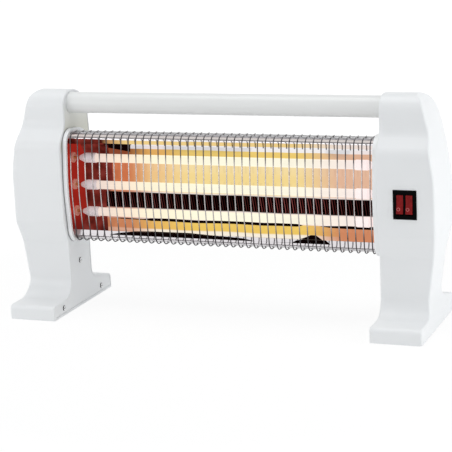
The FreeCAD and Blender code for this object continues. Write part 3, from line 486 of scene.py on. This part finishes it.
# Where a point lies: along the trough, deep in it and up it, with a slow ripple of the sheet
# The bands' ends lean, so reach counts a share of the depth as length along the trough
ripple_swing = 0.003
reach_ripple_share = 2
depth_share = 0.5
object_place = coordinates(tree)
wave = place_node(tree, "ShaderNodeTexNoise", Scale=16, Detail=1)
mottle = place_node(tree, "ShaderNodeTexNoise", Scale=55, Detail=3)
for noise in (wave, mottle):
    tree.links.new(object_place, noise.inputs["Vector"])
along, depth, height = axes_of(tree, object_place)
ripple = sum_node(tree, "MULTIPLY_ADD", wave.outputs[0], ripple_swing, -ripple_swing / 2)
waved_height = sum_node(tree, "ADD", height, ripple)
reach = sum_node(tree, "MULTIPLY_ADD", depth, depth_share, along)
waved_reach = sum_node(tree, "MULTIPLY_ADD", ripple, reach_ripple_share, reach)


# The trough: painted reflections of the tubes as gold and dark bands, redder towards its ends
def trough_bands(lip, low_gold, low_gap, foot, pale_low, pale_high, high_gold):
    """Painted reflection colours up the trough at one place along it, with places in metres."""
    return [
        (0.0892, lip), (0.0905, low_gold), (0.0990, low_gold), (0.0998, low_gap), (0.1100, low_gap),
        (0.1108, near_black), (0.1282, near_black), (0.1288, foot), (0.1310, pale_low),
        (0.1480, pale_low), (0.1640, pale_high), (0.1720, high_gold)]


left_bands = trough_bands(
    lip=(0.70, 0.40, 0.28), low_gold=(0.59, 0.23, 0.11), low_gap=(0.66, 0.36, 0.28),
    foot=(0.62, 0.24, 0.14), pale_low=(0.61, 0.18, 0.075), pale_high=(0.61, 0.18, 0.085),
    high_gold=(0.30, 0.075, 0.03))
near_left_bands = trough_bands(
    lip=cream, low_gold=(0.82, 0.50, 0.13), low_gap=tube_pink, foot=tube_pink,
    pale_low=(0.86, 0.58, 0.27), pale_high=(0.86, 0.56, 0.30), high_gold=(0.80, 0.47, 0.14))
centre_bands = trough_bands(
    lip=cream, low_gold=(0.846, 0.578, 0.133), low_gap=tube_pink, foot=tube_pink,
    pale_low=(0.905, 0.70, 0.305), pale_high=(0.905, 0.72, 0.39), high_gold=(0.86, 0.63, 0.19))
right_bands = trough_bands(
    lip=end_orange, low_gold=end_orange, low_gap=tube_white, foot=tube_white,
    pale_low=right_copper, pale_high=right_copper, high_gold=(0.77, 0.50, 0.35))
trough = ramp_node(tree, waved_height, left_bands)
for bands, from_reach, to_reach in (
        (near_left_bands, -0.116, -0.085), (centre_bands, -0.075, -0.040), (right_bands, 0.09, 0.135)):
    passed = ramp_node(tree, reach, [(from_reach, 0), (to_reach, 1)])
    trough = colour_node(tree, passed, trough, ramp_node(tree, waved_height, bands))

# A painted dark reflection line under the lowest tube, which thins out and swells along the trough
line_middle = 0.0992
line_half = 0.0014
line_widths = [
    (-0.135, 0), (-0.128, 0.4), (-0.10, 0.35), (-0.09, 1), (0.085, 1), (0.0915, 0), (0.110, 0),
    (0.122, 0.6), (0.14, 1)]
line_here = sum_node(tree, "MULTIPLY", ramp_node(tree, reach, line_widths), line_half)
off_line = sum_node(tree, "ABSOLUTE", sum_node(tree, "SUBTRACT", waved_height, line_middle))
trough = colour_node(tree, sum_node(tree, "LESS_THAN", off_line, line_here), trough, near_black)

# The black band carries painted reflections of the wires as broken dark red stripes
stripe_red = (0.36, 0.095, 0.09)
stripe_dark = (0.16, 0.03, 0.028)
stripe_pitch = 0.00925
stripe_lean = 0.14
stripe_low, stripe_high = 0.1112, 0.1278
# Shares of one pitch
wire_stripes = [
    (0.25, near_black), (0.28, stripe_red), (0.31, stripe_red), (0.34, near_black),
    (0.56, near_black), (0.59, stripe_dark), (0.62, stripe_dark), (0.65, near_black)]
stripe_strengths = [
    (-0.135, 0.35), (-0.080, 0.6), (-0.030, 0.2), (0.020, 0.2), (0.050, 0.9), (0.100, 1), (0.130, 0.5),
    (0.160, 0.2)]
leaning = sum_node(tree, "MULTIPLY_ADD", height, stripe_lean, along)
pitch_share = sum_node(tree, "FRACT", sum_node(tree, "DIVIDE", leaning, stripe_pitch))
striped = ramp_node(tree, pitch_share, wire_stripes)
striped = colour_node(tree, 1, striped, ramp_node(tree, reach, stripe_strengths), "MULTIPLY")
trough = colour_node(tree, between(tree, waved_height, stripe_low, stripe_high), trough, striped)

# The slant at the top of the trough: a painted white reflection, with a black patch towards its left end
white_floor = 0.1800
patch_left, patch_right = -0.143, -0.111
patch_fall = -0.17
patch_level = 0.1567
white_tints = [
    (-0.146, end_red), (-0.143, near_black), (-0.1115, near_black), (-0.1105, mirror_white),
    (0.182, (0.84, 0.83, 0.85))]
in_white = sum_node(tree, "GREATER_THAN", waved_height, white_floor)
patch_floor = sum_node(tree, "MULTIPLY_ADD", reach, patch_fall, patch_level)
over_patch_floor = sum_node(tree, "GREATER_THAN", waved_height, patch_floor)
in_patch = sum_node(tree, "MULTIPLY", between(tree, reach, patch_left, patch_right), over_patch_floor)
trough = colour_node(tree, in_white, trough, ramp_node(tree, reach, white_tints))
trough = colour_node(tree, in_patch, trough, near_black)

# The red end, a painted reflection of the end plate mottled by what it mirrors, which reaches further
# along between the tubes
end_place = -0.1455
end_swing = 0.0105
end_mottles = [(0.3, end_dark), (0.5, end_red), (0.7, end_light)]
end_shares = [(0.128, 0), (0.131, 1), (0.170, 1), (0.174, 0.62)]
reddened = ramp_node(tree, mottle.outputs[0], end_mottles)
end_here = sum_node(tree, "MULTIPLY_ADD", ramp_node(tree, height, end_shares), end_swing, end_place)
trough = colour_node(tree, sum_node(tree, "LESS_THAN", waved_reach, end_here), trough, reddened)

# The lips: painted reflections, a yellow strip along the top one, and a black mirrored strip along the
# bottom one
lip_depth = -0.0075
lip_parting = 0.14
yellow_low, yellow_high = 0.1924, 0.1966
red_lip_end = -0.149
strip_tints = [
    (-0.147, end_dark), (-0.139, (0.45, 0.24, 0.10)), (-0.116, strip_yellow), (0.080, strip_yellow),
    (0.125, (0.80, 0.68, 0.60)), (0.182, (0.80, 0.70, 0.68))]
upper_lip = colour_node(
    tree, between(tree, waved_height, yellow_low, yellow_high),
    ramp_node(tree, reach, white_tints), ramp_node(tree, reach, strip_tints))
upper_lip = colour_node(tree, sum_node(tree, "LESS_THAN", reach, red_lip_end), upper_lip, reddened)
over_yellow = sum_node(tree, "GREATER_THAN", waved_height, yellow_high)
upper_lip = colour_node(tree, over_yellow, upper_lip, mirror_white)
lips = colour_node(tree, sum_node(tree, "LESS_THAN", height, lip_parting), upper_lip, mirror_white)
on_lip = sum_node(tree, "LESS_THAN", depth, lip_depth)
off_lip = sum_node(tree, "SUBTRACT", 1, on_lip)
painted = colour_node(tree, on_lip, trough, lips)

# How far up the black strip reaches from the edge of the lower lip, or of the slant behind it
strip_floor = -0.0045
strip_reach = 0.0095
strip_ripple_share = 0.5
lip_edge, slant_edge = 0.0922, 0.0864
strip_tops = [
    (-0.145, 0), (-0.131, 0.30), (-0.112, 0.52), (-0.090, 0.58), (-0.045, 0.58), (-0.015, 0.48),
    (0, 0.42), (0.017, 0.30), (0.031, 0), (0.073, 0.05), (0.078, 0.36), (0.086, 0.50), (0.093, 0.72),
    (0.099, 0.96), (0.105, 0.96), (0.111, 0.55), (0.117, 0)]
edge_here = sum_node(tree, "MULTIPLY_ADD", on_lip, lip_edge - slant_edge, slant_edge)
from_edge = sum_node(tree, "SUBTRACT", height, edge_here)
top_here = sum_node(tree, "MULTIPLY_ADD", ramp_node(tree, reach, strip_tops), strip_reach, strip_floor)
top_here = sum_node(tree, "MULTIPLY_ADD", ripple, strip_ripple_share, top_here)
painted = colour_node(tree, between(tree, from_edge, strip_floor, top_here), painted, near_black)

# The flat shelf between the slant and the upper lip, painted as a pale reflection
shelf_floor = 0.1972
on_shelf = sum_node(tree, "MULTIPLY", off_lip, sum_node(tree, "GREATER_THAN", height, shelf_floor))
painted = colour_node(tree, on_shelf, painted, shelf_white)
on_slant = sum_node(tree, "MULTIPLY", off_lip, in_white)


def painted_share(in_trough, slant, shelf, lip):
    """The painted colour times a share that differs from zone to zone."""
    share = (in_trough,) * 3
    for zone, zone_share in ((on_slant, slant), (on_shelf, shelf), (on_lip, lip)):
        share = colour_node(tree, zone, share, (zone_share,) * 3)
    return colour_node(tree, 1, painted, share, "MULTIPLY")


# How much of the painted colour is mirror, and how much glows as painted light of the tubes held in the
# tint
# The rear of the sheet is dull and takes no painted glow from the tubes
rear_turn = 0.1
mirrored = painted_share(in_trough=0.2, slant=0.25, shelf=0.3, lip=0.85)
lit = painted_share(in_trough=0.8, slant=0.85, shelf=0.8, lip=0.12)
backwards = axes_of(tree, coordinates(tree, "Normal"))["Y"]
on_rear = sum_node(tree, "MULTIPLY", off_lip, sum_node(tree, "GREATER_THAN", backwards, rear_turn))
mirror_shader = tree.nodes["Principled BSDF"]
tree.links.new(colour_node(tree, on_rear, mirrored, rear_grey), mirror_shader.inputs["Base Color"])
tree.links.new(colour_node(tree, on_rear, lit, (0, 0, 0)), mirror_shader.inputs["Emission Color"])
set_shader(painted_reflection_mirror, Emission_Strength=1, Metallic=1, Roughness=0.09)
finish_nodes(painted_reflection_mirror, "reflector")


# The end plates: polished discs that close the drum, tinted red and darker towards the bottom, with a
# painted glow of the tubes' light.
# Above the reflector's upper lip the painted glow fades and they stay bright.
plate_red = (0.42, 0.05, 0.032)
plate_painted_glow = (0.31, 0.018, 0.011)
# Places up the plates, in metres
plate_tones = [
    (0.090, (0.20, 0.03, 0.022)), (0.112, plate_red), (0.1965, plate_red), (0.1985, (0.72, 0.70, 0.70))]
plate_painted_glows = [
    (0.090, (0.13, 0.011, 0.008)), (0.112, plate_painted_glow), (0.1965, plate_painted_glow), (0.1985, 0.05)]
end_plate_metal = metal_surface("end_plate_metal", Scale=40, Roughness=0.14, Relief=0.02)
tree = end_plate_metal.node_tree
height = axes_of(tree, coordinates(tree))["Z"]
tone_metal(end_plate_metal, ramp_node(tree, height, plate_tones), stain_loss=0.4)
plate_shader = tree.nodes["Principled BSDF"]
tree.links.new(ramp_node(tree, height, plate_painted_glows), plate_shader.inputs["Emission Color"])
set_shader(end_plate_metal, Emission_Strength=0.8)
finish_nodes(end_plate_metal, "left_end_plate", "right_end_plate")


# The quartz tubes: milky glass lit from inside by the windings, cooler and pinker at both ends.
# Each is held by a cap at either end.
quartz_grey = (0.06, 0.055, 0.05, 1)
# Places along the tubes, in metres
tube_glows = [
    (-0.162, (0.68, 0.56, 0.56)), (-0.146, (0.86, 0.70, 0.61)), (-0.120, (0.95, 0.78, 0.61)),
    (-0.080, (0.98, 0.90, 0.66)), (0, (0.98, 0.95, 0.74)), (0.090, (0.96, 0.91, 0.74)),
    (0.125, (0.93, 0.83, 0.74)), (0.162, (0.91, 0.79, 0.76))]
lit_quartz = bpy.data.materials.new("lit_quartz")
lit_quartz.use_nodes = True
tree = lit_quartz.node_tree
object_place = coordinates(tree)
glow = ramp_node(tree, axes_of(tree, object_place)["X"], tube_glows, "EASE")
milk = place_node(tree, "ShaderNodeTexNoise", Scale=60, Detail=3)
milky = place_node(tree, "ShaderNodeMapRange", From_Min=0.3, From_Max=0.7, To_Min=0.94, To_Max=1.0)
clouded = tree.nodes.new("ShaderNodeHueSaturation")
quartz_shader = tree.nodes["Principled BSDF"]
tree.links.new(object_place, milk.inputs["Vector"])
tree.links.new(milk.outputs[0], milky.inputs["Value"])
tree.links.new(milky.outputs[0], clouded.inputs["Value"])
tree.links.new(glow, clouded.inputs["Color"])
tree.links.new(clouded.outputs[0], quartz_shader.inputs["Emission Color"])
set_shader(
    lit_quartz, Base_Color=quartz_grey, Emission_Strength=1, Roughness=0.25, Specular_IOR_Level=0.2)
finish_nodes(lit_quartz, "upper_quartz_tube", "middle_quartz_tube", "lower_quartz_tube")


# The caps and bushes: pressed ceramic, off-white and slightly chalky, with a painted glow of the tubes'
# light.
# The caps close the tubes' ends, and the right ones are painted darker with a stronger painted glow.
# The bushes sit in the red end plates and are painted reddish with a faint painted glow of the plates'
# red light.
tube_cap = surface_from_group(
    "tube_cap", moulded_skin, Colour=(0.60, 0.55, 0.57),
    Drift_Scale=90, Drift=0.15, Grain_Scale=3000, Grain_Depth=0.15, Roughness=0.55)
set_shader(tube_cap, Emission_Color=(1, 0.86, 0.86, 1), Emission_Strength=0.2)
finish_nodes(tube_cap, "left_tube_caps")
lit_cap = surface_from_group(
    "lit_cap", moulded_skin, Colour=(0.30, 0.27, 0.27),
    Drift_Scale=90, Drift=0.15, Grain_Scale=3000, Grain_Depth=0.15, Roughness=0.55)
set_shader(lit_cap, Emission_Color=(0.93, 0.82, 0.80, 1), Emission_Strength=0.85)
finish_nodes(lit_cap, "right_tube_caps")
plate_bush = surface_from_group(
    "plate_bush", moulded_skin, Colour=(0.68, 0.32, 0.25),
    Drift_Scale=120, Drift=0.3, Grain_Scale=3000, Grain_Depth=0.15, Roughness=0.5)
set_shader(plate_bush, Emission_Color=(0.8, 0.3, 0.25, 1), Emission_Strength=0.15)
finish_nodes(plate_bush, "left_ceramic_bushes", "right_ceramic_bushes")


# The back panel: bent sheet with a white baked coat, pierced with vent slots.
# It closes the drum behind the reflector, between the two covers.
panel_paint = surface_from_group(
    "panel_paint", moulded_skin, Colour=(0.72, 0.73, 0.735),
    Drift_Scale=15, Drift=0.05, Grain_Scale=900, Grain_Depth=0.1, Roughness=0.42)
finish_nodes(panel_paint, "back_panel")


# The switch: a smooth black box snapped into the right casing, with its push-on blades behind.
# The tip-over microswitch in the foot is moulded in the same black.
switch_black = surface_from_group(
    "switch_black", moulded_skin, Colour=(0.001, 0.001, 0.0012),
    Drift_Scale=60, Drift=0.2, Grain_Scale=3000, Grain_Depth=0.03, Roughness=0.25)
set_shader(switch_black, Specular_IOR_Level=0.03)
finish_nodes(switch_black, "switch_housing", "microswitch")


# The rockers: deep red plastic, a little uneven in tone.
# Each tips on the pin through the box.
rocker_red = surface_from_group(
    "rocker_red", moulded_skin, Colour=(0.20, 0.012, 0.013),
    Drift_Scale=190, Drift=0.9, Grain_Scale=3000, Grain_Depth=0.02, Roughness=0.35)
set_shader(rocker_red, Specular_IOR_Level=0.05)
finish_nodes(rocker_red, "left_rocker", "right_rocker")


# The off marks: a small ring moulded on each rocker's lower end and printed pale pink.
# Each is half sunk in the face that carries it, and moves with its rocker.
def face_spot(name, across, up):
    """Where a line from the front first meets a node, and which way its face looks there."""
    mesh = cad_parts[name].data
    skin = BVHTree.FromPolygons([v.co for v in mesh.vertices], [p.vertices for p in mesh.polygons])
    spot, normal, _, _ = skin.ray_cast(Vector((across, cad_box[0].y, up)), Vector((0, 1, 0)))
    return spot, normal


mark_radius = 0.00155
mark_line = 0.0003
mark_sides, mark_steps = 12, 48
mark_height_share = 0.27
mark_shift = -0.0013
mark_pink = surface_from_group(
    "mark_pink", moulded_skin, Colour=(0.50, 0.12, 0.12),
    Drift_Scale=300, Drift=0.2, Grain_Scale=3000, Grain_Depth=0.05, Roughness=0.5)
for name in ("left_rocker", "right_rocker"):
    rocker_low, rocker_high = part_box(name)
    spot, normal = face_spot(
        name, (rocker_low.x + rocker_high.x) / 2 + mark_shift,
        rocker_low.z + (rocker_high.z - rocker_low.z) * mark_height_share)
    bm = bmesh.new()
    upright = Matrix.Translation((mark_radius, 0, 0)) @ Matrix.Rotation(math.pi / 2, 4, "X")
    bmesh.ops.create_circle(bm, segments=mark_sides, radius=mark_line, matrix=upright)
    bmesh.ops.spin(
        bm, geom=bm.verts[:] + bm.edges[:], cent=(0, 0, 0), axis=(0, 0, 1),
        angle=math.tau, steps=mark_steps, use_merge=True)
    bmesh.ops.recalc_face_normals(bm, faces=bm.faces)
    turn = normal.to_track_quat("Z", "Y").to_matrix().to_4x4()
    bmesh.ops.transform(bm, matrix=Matrix.Translation(spot) @ turn, verts=bm.verts)
    for face in bm.faces:
        face.smooth = True
    mark = add_object(name + "_mark", bm, mark_pink)
    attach(mark, name)


# The nuts, washers, rods, pins and brackets, and the screws inside: steel with a bright zinc plate.
# They are pressed, drawn or turned.
# They hold the handle, the tubes and the tip-over switch, and clamp the leads in their block.
zinc_steel = metal_surface(
    "zinc_steel", Colour=(0.60, 0.61, 0.62), Stain=(0.42, 0.43, 0.45),
    Scale=300, Roughness=0.28, Relief=0.05)
finish_nodes(
    zinc_steel, "handle_tie_rod", "handle_washers", "handle_nuts", "rocker_pin", "tip_bracket",
    "bracket_screws", "lever_pin", "micro_lever", "left_pin_nuts", "right_pin_nuts", "block_screws")


# The plunger's spring: steel wire wound in an open coil, with the same zinc plate.
# It stands between the plunger's collar and the bracket's tab.
spring_low, spring_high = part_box("plunger_spring")
spring_middle = (spring_low + spring_high) / 2
spring_foot = Vector((spring_middle.x, spring_middle.y, spring_low.z))
spring_wire = 0.0005
spring_sides = 12
spring_turns = 6
steps_per_turn = 28
spring_steps = steps_per_turn * spring_turns
spring_radius = (spring_high.x - spring_low.x) / 2 - spring_wire
spring_rise = spring_high.z - spring_low.z - 2 * spring_wire
bm = bmesh.new()
upright = Matrix.Translation((spring_radius, 0, spring_wire)) @ Matrix.Rotation(math.pi / 2, 4, "X")
bmesh.ops.create_circle(bm, segments=spring_sides, radius=spring_wire, matrix=upright)
bmesh.ops.spin(
    bm, geom=bm.verts[:] + bm.edges[:], cent=(0, 0, 0), axis=(0, 0, 1),
    dvec=(0, 0, spring_rise / spring_steps), angle=math.tau * spring_turns, steps=spring_steps)
bmesh.ops.holes_fill(bm, edges=[edge for edge in bm.edges if edge.is_boundary], sides=0)
bmesh.ops.recalc_face_normals(bm, faces=bm.faces)
bmesh.ops.translate(bm, verts=bm.verts, vec=spring_foot)
for face in bm.faces:
    face.smooth = len(face.verts) == 4
spring = add_object("plunger_coil", bm, zinc_steel)
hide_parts("plunger_spring")
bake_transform(spring)


# The cover screws: zinc-plated steel with slotted heads, with a painted highlight on the flat and
# painted shade down the slot.
# Three hold each inner cover to its casing.
slot_shade = (0.05, 0.05, 0.055)
head_highlight = (0.80, 0.81, 0.82)
# Shares of a face's turn towards the screw's end
head_tones = [(0.55, slot_shade), (0.92, head_highlight)]
screw_zinc = metal_surface("screw_zinc", Scale=300, Roughness=0.3, Relief=0.05)
tree = screw_zinc.node_tree
head_on = sum_node(tree, "ABSOLUTE", axes_of(tree, coordinates(tree, "Normal"))["X"])
tone_metal(screw_zinc, ramp_node(tree, head_on, head_tones), stain_loss=0.3)
finish_nodes(screw_zinc, "left_cover_screws", "right_cover_screws")


# The current path: brass links, pins and blades, pressed and bright.
# The pins carry the tubes, and the links join the pins outside the end plates.
brass = metal_surface(
    "brass", Colour=(0.72, 0.52, 0.22), Stain=(0.52, 0.35, 0.13), Scale=200, Roughness=0.25, Relief=0.04)
finish_nodes(
    brass, "left_terminal_pins", "right_terminal_pins", "common_link", "outer_pair_link",
    "middle_link", "switch_blades")


# The heating windings: fine resistance wire, dark with oxide.
# Each runs inside its milky tube from one pin to the other.
winding_wire = metal_surface(
    "winding_wire", Colour=(0.30, 0.20, 0.15), Stain=(0.16, 0.10, 0.08), Stretch=(8, 1, 1),
    Scale=150, Roughness=0.45, Relief=0.3)
finish_nodes(winding_wire, "upper_heating_coil", "middle_heating_coil", "lower_heating_coil")


# The leads: heat-proof woven sleeves in pale grey.
# They join the inlet, the switches and the links, and run inside the legs.
lead_sleeve = surface_from_group(
    "lead_sleeve", moulded_skin, Colour=(0.55, 0.54, 0.50),
    Drift_Scale=400, Drift=0.2, Grain_Scale=1500, Grain_Depth=0.6, Roughness=0.75)
finish_nodes(lead_sleeve, "neutral_lead", "live_lead", "feed_lead", "pair_lead", "middle_lead")


# The terminal block and the tip-over plunger: natural white nylon, a little waxy.
# The block sits on the back of the right inner cover, and the plunger slides in the foot.
nylon = surface_from_group(
    "nylon", moulded_skin, Colour=(0.66, 0.65, 0.60),
    Drift_Scale=80, Drift=0.08, Grain_Scale=2500, Grain_Depth=0.05, Roughness=0.35)
finish_nodes(nylon, "terminal_block", "tip_plunger")


# The mains inlet: a black rubber bush, finely grained.
# It is snapped through the rear wall of the right casing.
gland_rubber = surface_from_group(
    "gland_rubber", moulded_skin, Colour=(0.022, 0.022, 0.023),
    Drift_Scale=120, Drift=0.3, Grain_Scale=2200, Grain_Depth=0.25, Roughness=0.62)
finish_nodes(gland_rubber, "cord_gland")
